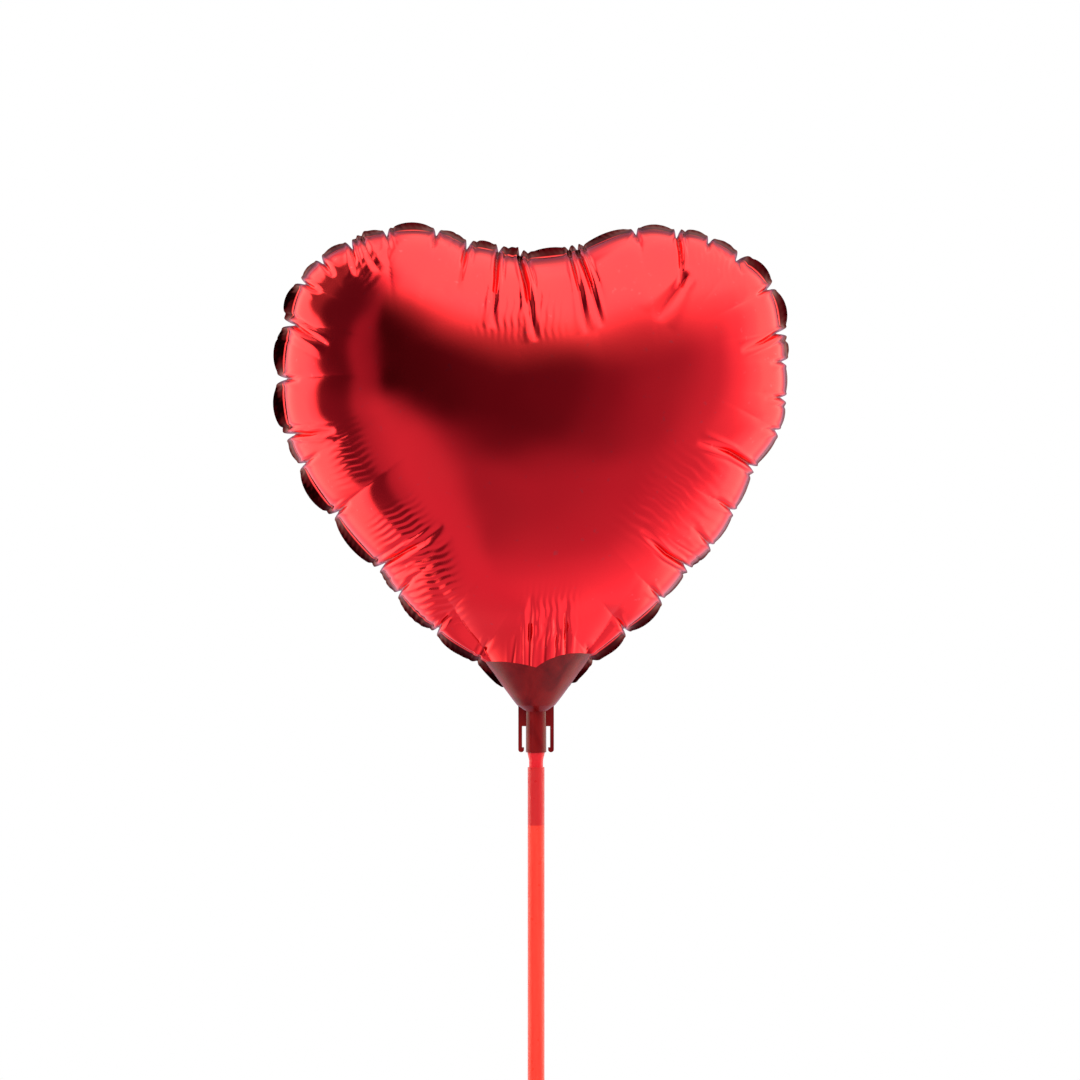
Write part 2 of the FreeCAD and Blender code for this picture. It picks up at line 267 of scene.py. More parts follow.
# ---------------------------------------------------------------- pillows and puckers
# Creases: points from the rim inwards (mm from the middle, mm up from the point), depth, half width,
# and how many fine ridges run beside it.
FRONT_CREASES = (
    (((-24.6, 161.5), (-27.5, 141.8)), 1.1, 0.9, 2),
    (((-13.6, 158.5), (-14.2, 146.0), (-15.4, 130.3)), 1.5, 0.8, 1),
    (((-6.1, 156.8), (-3.4, 146.5), (-0.2, 125.5)), 1.6, 0.9, 1),
    (((15.0, 158.8), (19.2, 146.0), (23.0, 130.5)), 1.4, 0.8, 1),
    (((12.4, 156.0), (15.4, 143.0), (17.6, 128.3)), 0.9, 0.8, 0),
    (((50.3, 165.6), (51.2, 156.0), (51.0, 143.6)), 1.5, 0.8, 1),
    (((51.0, 146.0), (42.5, 133.3)), 0.7, 1.8, 0),
    (((35.7, 166.0), (36.0, 161.0)), 1.0, 0.7, 0),
    (((61.8, 163.0), (61.0, 157.5)), 1.0, 0.7, 0),
    (((71.8, 156.9), (73.2, 149.5)), 1.1, 0.8, 1),
    (((82.8, 146.0), (78.0, 142.5)), 1.0, 0.8, 0),
    (((87.4, 130.6), (80.8, 126.4), (72.5, 122.6)), 1.5, 0.9, 1),
    (((88.6, 120.0), (82.5, 118.5)), 0.9, 0.8, 0),
    (((88.6, 107.0), (80.5, 106.0)), 1.1, 0.9, 1),
    (((86.2, 95.2), (79.0, 95.5)), 0.9, 0.8, 0),
    (((77.4, 82.2), (68.5, 87.1), (56.8, 90.7)), 1.5, 0.9, 1),
    (((70.4, 66.4), (63.0, 71.0)), 1.0, 0.8, 0),
    (((62.2, 54.2), (55.0, 60.5)), 0.9, 0.8, 0),
    (((54.2, 46.4), (46.0, 51.2), (36.5, 59.4)), 1.5, 0.8, 2),
    (((44.6, 35.2), (39.5, 40.0)), 1.0, 0.7, 0),
    (((31.6, 24.0), (28.0, 29.0)), 1.0, 0.7, 0),
    (((20.0, 13.2), (17.5, 20.0)), 0.9, 0.8, 1),
    (((10.6, 9.0), (10.9, 22.0), (10.0, 35.5)), 1.4, 0.9, 1),
    (((6.6, 9.0), (7.6, 22.0), (7.0, 31.0)), 0.9, 0.8, 0),
    (((3.0, 7.0), (3.4, 20.0), (3.8, 33.0)), 0.9, 0.8, 0),
    (((-2.4, 7.0), (-2.2, 22.0), (-1.8, 37.0)), 1.5, 0.8, 1),
    (((-9.0, 8.0), (-7.0, 24.0)), 1.0, 0.8, 0),
    (((-21.0, 13.0), (-16.5, 22.0)), 0.9, 0.8, 1),
    (((-35.2, 24.3), (-29.0, 30.5)), 1.0, 0.7, 1),
    (((-48.8, 37.5), (-43.0, 42.5)), 0.9, 0.7, 0),
    (((-55.4, 46.9), (-39.3, 55.7), (-32.5, 61.4)), 1.4, 0.9, 2),
    (((-71.4, 65.9), (-65.0, 69.5)), 1.1, 0.8, 1),
    (((-83.2, 83.4), (-76.0, 86.5)), 0.9, 0.8, 0),
    (((-87.5, 93.8), (-80.0, 93.5), (-70.7, 94.6)), 1.5, 0.9, 1),
    (((-90.6, 113.9), (-83.0, 112.5)), 1.2, 0.9, 0),
    (((-87.5, 133.4), (-80.5, 128.6), (-73.0, 124.4)), 1.4, 0.9, 2),
    (((-83.2, 148.1), (-76.0, 143.5)), 1.1, 0.8, 0),
    (((-76.8, 155.8), (-71.0, 149.5)), 1.1, 0.8, 0),
    (((-66.2, 161.4), (-63.0, 149.0)), 1.2, 0.8, 1),
    (((-62.0, 163.4), (-58.5, 156.0), (-55.0, 150.5)), 0.8, 0.9, 0),
    (((-53.6, 165.9), (-51.4, 158.5)), 1.0, 0.7, 1),
    (((-35.7, 165.8), (-36.4, 159.0)), 1.0, 0.7, 0),
)
# Patches of fine parallel wrinkles: middle, size along and across the ridges, the ridges' direction
# in degrees above +X, their spacing and their height, all in mm.
FRONT_WRINKLES = (
    ((-37.0, 41.0), (9.0, 15.0), 18, 2.5, 0.17),
    ((-66.5, 87.0), (6.5, 10.0), 22, 2.4, 0.13),
    ((-46.5, 60.0), (8.5, 8.0), 28, 2.3, 0.14),
    ((62.0, 153.0), (7.0, 11.0), 92, 2.0, 0.07),
    ((51.0, 68.0), (15.0, 17.0), -38, 3.7, 0.08),
    ((-5.0, 137.0), (9.0, 14.0), 88, 2.4, 0.09),
    ((-58.5, 153.5), (8.0, 6.0), 48, 3.4, 0.09),
    ((5.0, 22.0), (15.0, 9.0), 86, 2.1, 0.15),
)
BACK_WRINKLES = (
    ((38.0, 43.0), (9.0, 13.0), -24, 2.6, 0.15),
    ((64.0, 90.0), (7.0, 10.0), -14, 2.4, 0.12),
    ((-58.0, 150.0), (8.0, 10.0), 95, 2.2, 0.09),
    ((-50.0, 66.0), (14.0, 15.0), 40, 3.5, 0.08),
    ((3.0, 24.0), (14.0, 10.0), 92, 2.2, 0.14),
)
DIP_REACH = 24.0        # how far the pillows beside the dip run down, mm
CREASE_DEPTH = 1.25     # multiplies every crease's depth
DIP_MIDDLE, DIP_WIDTH, DIP_FOOT = 4, 22, 110    # where the dip between the lobes is, mm
CALM_FOOT, CALM_RISE = 12, 12                   # no pillows below the first, growing over the second, mm
SLOW_WAVES = (          # direction in radians, size and height in mm, start
    (0.4, 8.5, 0.10, 0.3), (1.7, 6.1, 0.07, 1.9), (2.6, 10.8, 0.13, 4.0),
    (0.9, 4.3, 0.035, 2.2), (2.1, 3.6, 0.03, 5.1),
)


def back_creases():
    """The back film's own creases: one from each pinch, of mixed lengths and leans."""
    creases = []
    for number, (x, z, _) in enumerate(PINCHES):
        column = int(PILLOW_START[number] / RIM_LENGTH * COLUMNS)
        lean = RNG.normal(0, 0.25)
        inward = -RIM_OUT[column]
        turned = np.array((inward[0] * math.cos(lean) - inward[1] * math.sin(lean),
                           inward[0] * math.sin(lean) + inward[1] * math.cos(lean)))
        long = RNG.choice((5.5, 9.0, 16.0, 24.0), p=(0.35, 0.3, 0.2, 0.15))
        start = np.array((x, z)) - inward * 0.5
        bent = start + turned * long * 0.5 + RNG.normal(0, 0.4, 2)
        creases.append(((tuple(start), tuple(bent), tuple(start + turned * long)),
                        RNG.uniform(0.9, 1.5), RNG.uniform(0.7, 1.0), RNG.integers(0, 3)))
    return creases


def crease_offset(plan, points, depth, half, ridges):
    """A sharp valley along the points that fades inwards, with a soft ridge on each side."""
    points = np.array(points)
    legs = np.diff(points, axis=0)
    lengths = np.linalg.norm(legs, axis=1)
    total = lengths.sum()
    nearest = np.full(plan.shape[:2], 1e9)
    across = np.zeros(plan.shape[:2])
    along = np.zeros(plan.shape[:2])
    passed = 0.0
    for start, leg, length in zip(points, legs, lengths):
        unit = leg / length
        off = plan - start
        walk = off @ unit
        clipped = np.clip(walk, 0 if passed else -3.0, length)
        miss = off - clipped[..., None] * unit
        gap = np.linalg.norm(miss, axis=-1)
        side = off[..., 0] * unit[1] - off[..., 1] * unit[0]
        take = gap < nearest
        nearest = np.where(take, gap, nearest)
        across = np.where(take, np.sign(side) * gap, across)
        along = np.where(take, passed + clipped, along)
        passed += length
    share = np.clip(along / total, 0, 1)
    fade = (1 - share) ** 0.7
    width = half * (0.62 + 0.7 * share)
    s = np.abs(across) / width
    shape = -np.exp(-s ** 1.25) + 0.42 * np.exp(-((s - 2.4) / 1.2) ** 2)
    for number in range(ridges):
        offset = (2.6 + 2.1 * number) * (1 if number % 2 else -1) * half * 1.3
        t = np.abs(across - offset) / (width * 0.8)
        shape -= 0.45 * (1 - 0.25 * number) * np.exp(-t ** 1.3)
    # Painted shade: how dark the crease's middle is painted, fading inwards along the crease.
    crease_shade = fade * np.exp(-(s * 1.1) ** 2) * min(1.0, depth)
    return depth * fade * shape * np.exp(-(nearest / (9 * half)) ** 2), crease_shade


def film_offsets(plan, run, away, creases, wrinkles, seed):
    """How far each point of the film is pushed out of the smooth dome, in mm, and how much painted shade
    its creases give it.
    """
    number, share = pillow_at(run)
    span = SPAN[number]
    arch = (4 * share * (1 - share)) ** 0.6
    reach = 0.62 * span
    dip = np.exp(-((plan[..., 0] - DIP_MIDDLE) / DIP_WIDTH) ** 2) * (plan[..., 1] > DIP_FOOT)
    reach = reach + (DIP_REACH - reach) * np.clip(dip, 0, 1) * 0.7
    height = 0.085 * span * (1 - 0.45 * dip)
    quiet = np.clip((plan[..., 1] - CALM_FOOT) / CALM_RISE, 0, 1) ** 1.5
    out = height * (arch - 0.12) * np.exp(-(away / reach) ** 1.6) * (0.25 + 0.75 * quiet)
    out[0] = (0.5 * height * arch * (0.25 + 0.75 * quiet))[0]
    # Painted shade in the creases: the darkest of all the creases' marks at each point.
    crease_shades = np.zeros(out.shape)
    for points, depth, half, ridges in creases:
        push, crease_shade = crease_offset(plan, points, CREASE_DEPTH * depth, half, ridges)
        out += push * (0.35 + 0.65 * quiet)
        crease_shades = np.maximum(crease_shades, crease_shade)
    for centre, (long, wide), angle, spacing, rise in wrinkles:
        turn = math.radians(angle)
        off = plan - np.array(centre)
        along = off[..., 0] * math.cos(turn) + off[..., 1] * math.sin(turn)
        across = -off[..., 0] * math.sin(turn) + off[..., 1] * math.cos(turn)
        wobble = 0.35 * np.sin(along * 0.31 + seed) + 0.22 * np.sin(along * 0.83 + across * 0.2)
        ridge = np.cos(2 * math.pi * (across + wobble) / spacing)
        ridge = np.sign(ridge) * np.abs(ridge) ** 0.8
        out += rise * ridge * np.exp(-(along / long) ** 4 - (across / wide) ** 4) * quiet
    slow = sum(rise * np.sin(plan @ np.array((math.cos(turn), math.sin(turn))) / size + seed + start)
               for turn, size, rise, start in SLOW_WAVES)
    return out + slow * np.clip(away / 9, 0, 1) * quiet, crease_shades


# The margin: the middle of its unfolded stretch at the dip, how flat it lies at the balloon's point,
# how strongly it curls, and the lowest it reaches above the point, in mm where they are lengths.
MARGIN_DIP, TIP_SHOWN, MARGIN_CURL, MARGIN_FLOOR = 3, 0.97, 0.30, 0.25
SEAM_SWAY = 0.9         # how far the seam waves out of its plane, mm
FILM_GAP = 0.02         # how far each film stands off the seam's middle, mm


def margin_calm():
    """From 0 at the balloon's point, where the margin lies flat, up to 1."""
    return np.clip((RIM[:, 1] - 9) / 9, 0, 1)


def margin_rings(edge, side):
    """The sealed margin's rings, outermost first: folded to the back at each pinch, and out between."""
    number, share = pillow_at(np.arange(COLUMNS) * RIM_LENGTH / COLUMNS)
    calm = margin_calm()
    shown = SHOWN[number] * (4 * share * (1 - share)).clip(0) ** 0.5
    dip = np.exp(-((RIM[:, 0] - MARGIN_DIP) / DIP_WIDTH) ** 4) * (RIM[:, 1] > DIP_FOOT)
    shown = np.maximum(np.maximum(shown, 0.6 * dip), 0.05) * calm + (1 - calm) * TIP_SHOWN
    back = np.sqrt(1 - shown ** 2)
    gap = 0.05 + 0.28 * np.exp(-(RIM[:, 0] / 9) ** 4) * (RIM[:, 1] < 60)
    rings = []
    for step in range(MARGIN_STEPS, 0, -1):
        t = step / MARGIN_STEPS
        curl = MARGIN_CURL * t * (1 - t)
        reach = MARGIN * t
        ripple = 0.10 * np.sin(RIM_LENGTH * np.arange(COLUMNS) / COLUMNS * 2.9 + step) * t * calm
        ring = edge.copy()
        ring[:, 0] += RIM_OUT[:, 0] * reach * (shown - curl * back)
        ring[:, 2] += RIM_OUT[:, 1] * reach * (shown - curl * back)
        ring[:, 1] += reach * (back + curl * shown) + ripple + side * gap * min(1, 2 * t)
        ring[:, 2] = np.maximum(ring[:, 2], MARGIN_FLOOR)
        rings.append(ring)
    return np.array(rings)


def film_points(side, creases, wrinkles, seed):
    """One film of the balloon, margin rings first: points in mm, each one's share of the way across
    the margin, and how much painted shade its creases give it.
    """
    plan, heights = DOME
    run, away = RIM_PLACES
    surface = np.stack((plan[..., 0], heights, plan[..., 1]), -1)
    down = np.gradient(surface, axis=0)
    round_rim = np.roll(surface, -1, 1) - np.roll(surface, 1, 1)
    normal = np.cross(down, round_rim)
    normal /= np.linalg.norm(normal, axis=-1)[..., None].clip(1e-9)
    normal *= np.sign(normal[RINGS // 2, 0, 1])
    normal[0] = np.stack((RIM_OUT[:, 0], np.zeros(COLUMNS), RIM_OUT[:, 1]), -1)
    normal[-1] = (0, 1, 0)
    push, crease_shades = film_offsets(plan, run, away, creases, wrinkles, seed)
    blend = np.exp(-away / 1.2)
    push = push * (1 - blend) + blend * EDGE_PUSH[None]
    push[-1] = push[-2].mean()
    surface = surface + normal * push[..., None]
    surface[..., 1] = side * np.maximum(surface[..., 1], 0)
    number, share = pillow_at(np.arange(COLUMNS) * RIM_LENGTH / COLUMNS)
    # Neighbouring pillows lean to opposite sides, so the seam runs in a gentle wave.
    sway = SEAM_SWAY * margin_calm() * np.sin(math.pi * share) * np.where(number % 2, 1, -0.6)
    surface[..., 1] += sway[None] * np.exp(-away / 5)
    rings = margin_rings(surface[0], side)
    surface[:3, :, 1] += side * FILM_GAP
    margin = np.repeat(np.arange(MARGIN_STEPS, 0, -1) / MARGIN_STEPS, COLUMNS)
    points = np.concatenate((rings, surface), 0)
    margin = np.concatenate((margin, np.zeros(surface.shape[0] * COLUMNS)))
    crease_shades = np.concatenate((np.zeros(MARGIN_STEPS * COLUMNS), crease_shades.ravel()))
    return points, margin, crease_shades


def column_stride(ring, rings):
    """Every how many columns a ring has a point: the smaller the ring, the fewer."""
    inset = max(0, ring - MARGIN_STEPS) / (rings - MARGIN_STEPS)
    return 1 if inset < 0.36 else 2 if inset < 0.62 else 4 if inset < 0.82 else 8


def film_mesh(name, points, margin, crease_shades, facing):
    """Joins the rings into one sheet, halving the columns as the rings get smaller."""
    rings = points.shape[0]
    index = np.full(points.shape[:2], -1)
    kept, faces = [], []
    # One mark is each point's share of the way across the margin; the other is the painted shade in the
    # creases.
    marks = {"margin": (margin.reshape(-1, COLUMNS), []), "crease_shade": (crease_shades.reshape(-1, COLUMNS), [])}
    strides = [column_stride(ring, rings) for ring in range(rings - 1)]
    count = 0
    for ring in range(rings - 1):
        columns = np.arange(0, COLUMNS, strides[ring])
        index[ring, columns] = count + np.arange(len(columns))
        count += len(columns)
        kept.append(points[ring, columns])
        for values, taken in marks.values():
            taken.append(values[ring, columns])
    kept.append(points[-1, :1])
    tip = count
    for ring in range(rings - 2):
        a, b = strides[ring], strides[ring + 1]
        outer, within = index[ring], index[ring + 1]
        for column in range(0, COLUMNS, b):
            last = (column + b) % COLUMNS
            if a == b:
                faces.append((outer[column], outer[last], within[last], within[column]))
                continue
            # Here the columns halve, so three triangles join three outer points to two inner ones.
            first, middle, third = (outer[(column + step) % COLUMNS] for step in (0, a, b))
            faces.append((first, middle, within[column]))
            faces.append((middle, within[last], within[column]))
            faces.append((middle, third, within[last]))
    ring = index[rings - 2]
    stride = strides[-1]
    for column in range(0, COLUMNS, stride):
        faces.append((ring[column], ring[(column + stride) % COLUMNS], tip))
    faces = [tuple(int(spot) for spot in (face if facing > 0 else face[::-1])) for face in faces]
    spots = np.vstack(kept) * MM
    spots[:, 2] += TIP_HEIGHT * MM
    mesh = bpy.data.meshes.new(name)
    mesh.from_pydata(spots.tolist(), [], faces)
    mesh.shade_smooth()
    for mark, (_, taken) in marks.items():
        layer = mesh.attributes.new(mark, "FLOAT", "POINT")
        layer.data.foreach_set("value", np.concatenate(taken + [np.zeros(1)]).astype(np.float32))
    mesh.update()
    piece = bpy.data.objects.new(name, mesh)
    SCENE.collection.objects.link(piece)
    return piece


DOME = dome_grid()
RIM_PLACES = rim_coordinates(DOME[0])
EDGE_PUSH = film_offsets(DOME[0], *RIM_PLACES, FRONT_CREASES, FRONT_WRINKLES, 0.0)[0][0]
front_film = film_mesh("front_foil", *film_points(-1, FRONT_CREASES, FRONT_WRINKLES, 0.0), 1)
back_film = film_mesh("back_foil", *film_points(1, back_creases(), BACK_WRINKLES, 2.0), -1)


# ---------------------------------------------------------------- gathered tail
PLEATS = 12
PLEAT_DEPTH = 0.13      # share of the tail's width


def gathered_tail():
    """The flat filling tail, folded into pleats and drawn together towards the bottom."""
    low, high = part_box("foil_tail")
    rings, columns = 14, 96
    middle = (low + high) / 2
    half_x, half_y = (high.x - low.x) / 2, (high.y - low.y) / 2
    points, faces = [], []
    for ring in range(rings):
        t = ring / (rings - 1)
        height = low.z + (high.z - low.z) * t
        wide = half_x * (0.42 + 0.58 * t ** 0.8)
        deep = half_y * (1.0 - 0.12 * t)
        for column in range(columns):
            turn = 2 * math.pi * column / columns
            wave = 0.5 + 0.5 * math.cos(turn * PLEATS + 1.2 * math.sin(3 * t))
            pleat = 1 - PLEAT_DEPTH * wave - 0.03
            points.append((middle.x + wide * pleat * math.cos(turn),
                           middle.y + deep * pleat * math.sin(turn),
                           height))
    for ring in range(rings - 1):
        for column in range(columns):
            after = (column + 1) % columns
            a, b = ring * columns + column, ring * columns + after
            faces.append((a, b, b + columns, a + columns))
    for ring, turn in ((0, -1), (rings - 1, 1)):
        start = ring * columns
        points.append((middle.x, middle.y, points[start][2]))
        hub = len(points) - 1
        for column in range(columns):
            a, b = start + column, start + (column + 1) % columns
            faces.append((hub, a, b) if turn > 0 else (hub, b, a))
    mesh = bpy.data.meshes.new("gathered_tail")
    mesh.from_pydata(points, [], faces)
    mesh.shade_smooth()
    piece = bpy.data.objects.new("gathered_tail", mesh)
    SCENE.collection.objects.link(piece)
    return piece


tail = gathered_tail()


# ---------------------------------------------------------------- materials
def feed(tree, socket, value):
    """Links the value to the socket if it is an output, or else sets it."""
    if isinstance(value, bpy.types.NodeSocket):
        tree.links.new(value, socket)
    else:
        socket.default_value = value


class Nodes:
    """A short way to write a material's nodes. An input is named, or given by its number as i0, i1, ..."""

    def __init__(self, name):
        self.material = bpy.data.materials.new(name)
        self.material.use_nodes = True
        self.tree = self.material.node_tree
        self.shader = self.tree.nodes["Principled BSDF"]
        self.place = self.tree.nodes.new("ShaderNodeTexCoord").outputs["Object"]

    def add(self, kind, settings=None, **inputs):
        node = self.tree.nodes.new(kind)
        for key, value in (settings or {}).items():
            setattr(node, key, value)
        for key, value in inputs.items():
            socket = node.inputs[int(key[1:])] if key[1:].isdigit() else node.inputs[key.replace("_", " ")]
            feed(self.tree, socket, value)
        return node

    def noise(self, scale, detail=3.0, rough=0.55):
        node = self.add("ShaderNodeTexNoise", None, Vector=self.place, Scale=scale, Detail=detail,
                        Roughness=rough)
        return node.outputs["Fac"]

    def spread(self, value, low, high, start=0.3, end=0.7):
        node = self.add("ShaderNodeMapRange", None, Value=value, i1=start, i2=end, i3=low, i4=high)
        return node.outputs[0]

    def blend(self, share, low, high):
        node = self.add("ShaderNodeMix", {"data_type": "RGBA"}, i0=share)
        feed(self.tree, node.inputs[6], low)
        feed(self.tree, node.inputs[7], high)
        return node.outputs[2]

    def bump(self, height, strength, distance):
        node = self.add("ShaderNodeBump", None, Height=height, Strength=strength, Distance=distance)
        feed(self.tree, self.shader.inputs["Normal"], node.outputs[0])

    def shade(self, **values):
        for key, value in values.items():
            feed(self.tree, self.shader.inputs[key.replace("_", " ")], value)


def foil_material():
    """Bright red metal film, with painted shade over the sealed margin and along the middles of the
    creases.
    """
    n = Nodes("red_foil")
    cloud = n.spread(n.noise(22.0), 0.0, 1.0)
    base = n.blend(cloud, (0.80, 0.027, 0.036, 1), (0.76, 0.033, 0.037, 1))
    margin = n.add("ShaderNodeAttribute", {"attribute_name": "margin"}).outputs["Fac"]
    edge = n.spread(margin, 0.0, 1.0, 0.02, 0.20)
    # Painted shade: the middles of the creases are painted dark red.
    crease_shade_mask = n.add("ShaderNodeAttribute", {"attribute_name": "crease_shade"}).outputs["Fac"]
    base = n.blend(n.spread(crease_shade_mask, 0.0, 0.8, 0.15, 0.8), base, (0.16, 0.001, 0.004, 1))
    scuffed = n.blend(n.spread(n.noise(420.0), 0.0, 1.0, 0.66, 0.76), base, (0.62, 0.05, 0.06, 1))
    # Painted shade: the sealed margin is painted near black, so it shows dark whatever it faces.
    margin_shade = n.blend(n.noise(160.0), (0.012, 0.0003, 0.0006, 1), (0.040, 0.0008, 0.002, 1))
    colour = n.blend(edge, scuffed, margin_shade)
    rough = n.spread(n.noise(60.0), 0.10, 0.17)
    n.shade(Base_Color=colour, Roughness=rough, Metallic=1.0, Specular_Tint=(1.0, 0.75, 0.75, 1.0))
    n.bump(n.noise(900.0, 4.0), 0.10, 0.00004)
    return n.material


def stick_material():
    """Orange-red, slightly see-through plastic, with the peg showing as a darker core at the top."""
    n = Nodes("stick_plastic")
    streaks = n.add("ShaderNodeMapping", None, Vector=n.place, Scale=(1.0, 1.0, 0.04)).outputs[0]
    drawn = n.add("ShaderNodeTexNoise", None, Vector=streaks, Scale=900.0, Detail=2.0).outputs["Fac"]
    colour = n.blend(n.spread(drawn, 0, 1), (0.88, 0.040, 0.022, 1), (0.97, 0.056, 0.032, 1))
    height = n.add("ShaderNodeSeparateXYZ", None, Vector=n.place).outputs["Z"]
    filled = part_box("connector_peg")[0].z
    core = n.spread(height, 0.0, 0.85, filled - 0.0003, filled + 0.0003)
    colour = n.blend(core, colour, (0.56, 0.009, 0.016, 1))
    n.shade(Base_Color=colour, Roughness=n.spread(n.noise(300.0), 0.26, 0.40), Alpha=0.88,
            Specular_IOR_Level=0.3, IOR=1.49,
            Subsurface_Weight=0.2, Subsurface_Radius=(0.004, 0.0008, 0.0005))
    n.bump(drawn, 0.25, 0.00005)
    return n.material


def peg_material():
    """Bright red plastic."""
    n = Nodes("peg_plastic")
    colour = n.blend(n.spread(n.noise(260.0), 0, 1), (0.64, 0.010, 0.018, 1), (0.74, 0.015, 0.024, 1))
    n.shade(Base_Color=colour, Roughness=n.spread(n.noise(420.0), 0.24, 0.38),
            Specular_IOR_Level=0.2, IOR=1.49,
            Subsurface_Weight=0.1, Subsurface_Radius=(0.003, 0.0004, 0.0004))
    n.bump(n.noise(700.0), 0.2, 0.00005)
    return n.material


def cup_material():
    """Dark red plastic, with lighter swirls in its colour that are painted sheen."""
    n = Nodes("cup_plastic")
    # Painted sheen: lighter swirls in the colour stand in for the cup's glossy reflections.
    sheen_stretch = n.add("ShaderNodeMapping", None, Vector=n.place, Scale=(1.0, 1.0, 0.45)).outputs[0]
    painted_sheen = n.add("ShaderNodeTexNoise", None, Vector=sheen_stretch, Scale=95.0, Detail=3.0, Distortion=1.2)
    share = n.spread(painted_sheen.outputs["Fac"], 0, 1)
    colour = n.blend(share, (0.10, 0.001, 0.002, 1), (0.23, 0.007, 0.007, 1))
    n.shade(Base_Color=colour, Roughness=n.spread(n.noise(260.0), 0.14, 0.27), IOR=1.5,
            Specular_IOR_Level=0.12)
    n.bump(n.noise(240.0, 2.0), 0.25, 0.0001)
    return n.material


def valve_material():
    """Clear film."""
    n = Nodes("valve_film")
    colour = n.blend(n.noise(200.0), (0.80, 0.80, 0.82, 1), (0.90, 0.90, 0.91, 1))
    n.shade(Base_Color=colour, Roughness=n.spread(n.noise(500.0), 0.12, 0.3), Alpha=0.5)
    n.bump(n.noise(900.0), 0.2, 0.00003)
    return n.material


FOIL = foil_material()
for piece in (front_film, back_film, tail):
    piece.data.materials.append(FOIL)
NODE_MATERIALS = {
    "stick_tube": stick_material(), "connector_peg": peg_material(), "petal_cup": cup_material(),
}
NODE_MATERIALS["valve_front_film"] = NODE_MATERIALS["valve_back_film"] = valve_material()
# The film would mirror the cup as a hard dark band above it.
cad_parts["petal_cup"].visible_glossy = False
for name, material in NODE_MATERIALS.items():
    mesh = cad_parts[name].data
    mesh.materials.clear()
    mesh.materials.append(material)

for piece, node in ((front_film, "front_foil_panel"), (back_film, "back_foil_panel")):
    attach(piece, "balloon")
    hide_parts(node)
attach(tail, "tail")
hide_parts("foil_tail")

# ---------------------------------------------------------------- floor, world and lights
FLOOR_RADIUS = 0.85


def floor():
    """A pale round floor under the stick, which is the stage and not a part of the object."""
    rings, columns = 24, 96
    points, faces = [(0, 0, 0)], []
    for ring in range(1, rings + 1):
        reach = FLOOR_RADIUS * ring / rings
        for column in range(columns):
            turn = 2 * math.pi * column / columns
            points.append((reach * math.cos(turn), reach * math.sin(turn), 0))
    for column in range(columns):
        after = (column + 1) % columns
        faces.append((0, 1 + column, 1 + after))
        for ring in range(rings - 1):
            a, b = 1 + ring * columns + column, 1 + ring * columns + after
            faces.append((a, a + columns, b + columns, b))
    mesh = bpy.data.meshes.new("floor")
    mesh.from_pydata(points, [], faces)
    piece = bpy.data.objects.new("floor", mesh)
    SCENE.collection.objects.link(piece)
    n = Nodes("floor_paper")
    colour = n.blend(n.noise(6.0), (0.63, 0.63, 0.63, 1), (0.67, 0.67, 0.665, 1))
    n.shade(Base_Color=colour, Roughness=0.9)
    n.bump(n.noise(300.0), 0.05, 0.0002)
    mesh.materials.append(n.material)
    piece.visible_glossy = False


floor()

# What the film mirrors: brightness round the object as (degrees from the front, share), where negative
# is to the left, at eye level, lower down, high up and on the ground.
AROUND_LEVEL = (
    (-180, 0.10), (-150, 0.30), (-128, 1.0), (-92, 1.0), (-82, 0.9), (-75, 0.05), (-57, 0.04),
    (-52, 0.15), (-44, 0.12), (-39, 0.016), (-24, 0.026), (-8, 0.042), (4, 0.055), (16, 0.09),
    (34, 0.15), (52, 0.25), (66, 0.42), (80, 0.75), (94, 1.0), (128, 1.0), (150, 0.30), (180, 0.10),
)
AROUND_LOW = (
    (-180, 0.24), (-145, 0.5), (-125, 1.0), (-92, 1.0), (-80, 0.8), (-73, 0.08), (-58, 0.07),
    (-52, 0.20), (-42, 0.27), (-33, 0.26), (-20, 0.15), (4, 0.17), (34, 0.20), (56, 0.26), (74, 0.36),
    (88, 0.7), (101, 1.0), (125, 1.0), (145, 0.5), (180, 0.24),
)
AROUND_HIGH = (
    (-180, 0.9), (-158, 0.8), (-138, 0.32), (-118, 0.2), (-100, 0.14), (-86, 0.16), (-80, 0.55),
    (-73, 0.18), (-58, 0.12), (-46, 0.45), (-30, 0.85), (0, 1.0), (90, 1.0), (180, 0.9),
)
AROUND_FLOOR = ((-180, 0.32), (-90, 0.28), (-40, 0.28), (20, 0.34), (90, 0.5), (180, 0.32))
# Which of them shows, as (degrees above the horizon, share of the next one).
TO_HIGH = ((-90, 0), (24, 0), (36, 0.10), (50, 0.55), (64, 1), (90, 1))
TO_LOW = ((-90, 1), (-15, 1), (5, 0), (90, 0))
TO_GROUND = ((-90, 1), (-62, 1), (-44, 0.65), (-22, 0), (90, 0))
TO_ZENITH = ((-90, 0), (58, 0), (74, 1), (90, 1))
HIGH_LEAN, LOW_LEAN = 0.085, 0.05       # how far the high and low bands come down towards +X
DARK_PATCH = (-0.74, -0.20, 0.643)      # the direction of a dark patch, up to the front and left
PATCH_EDGE = (0.905, 0.955)             # cosines of its outer and inner edge
WORLD_STRENGTH = 3.0


def ramp(tree, value, stops, low, high):
    """A soft colour ramp: brighter shares are whiter, and darker ones pinker."""
    node = tree.nodes.new("ShaderNodeValToRGB")
    node.color_ramp.interpolation = "EASE"
    elements = node.color_ramp.elements
    while len(elements) > 1:
        elements.remove(elements[-1])
    for number, (spot, share) in enumerate(stops):
        at = (spot - low) / (high - low)
        element = elements[0] if number == 0 else elements.new(at)
        element.position = at
        element.color = (share, share * (0.48 + 0.60 * share), share * (0.85 + 0.05 * share), 1)
    tree.links.new(value, node.inputs[0])
    return node.outputs[0]


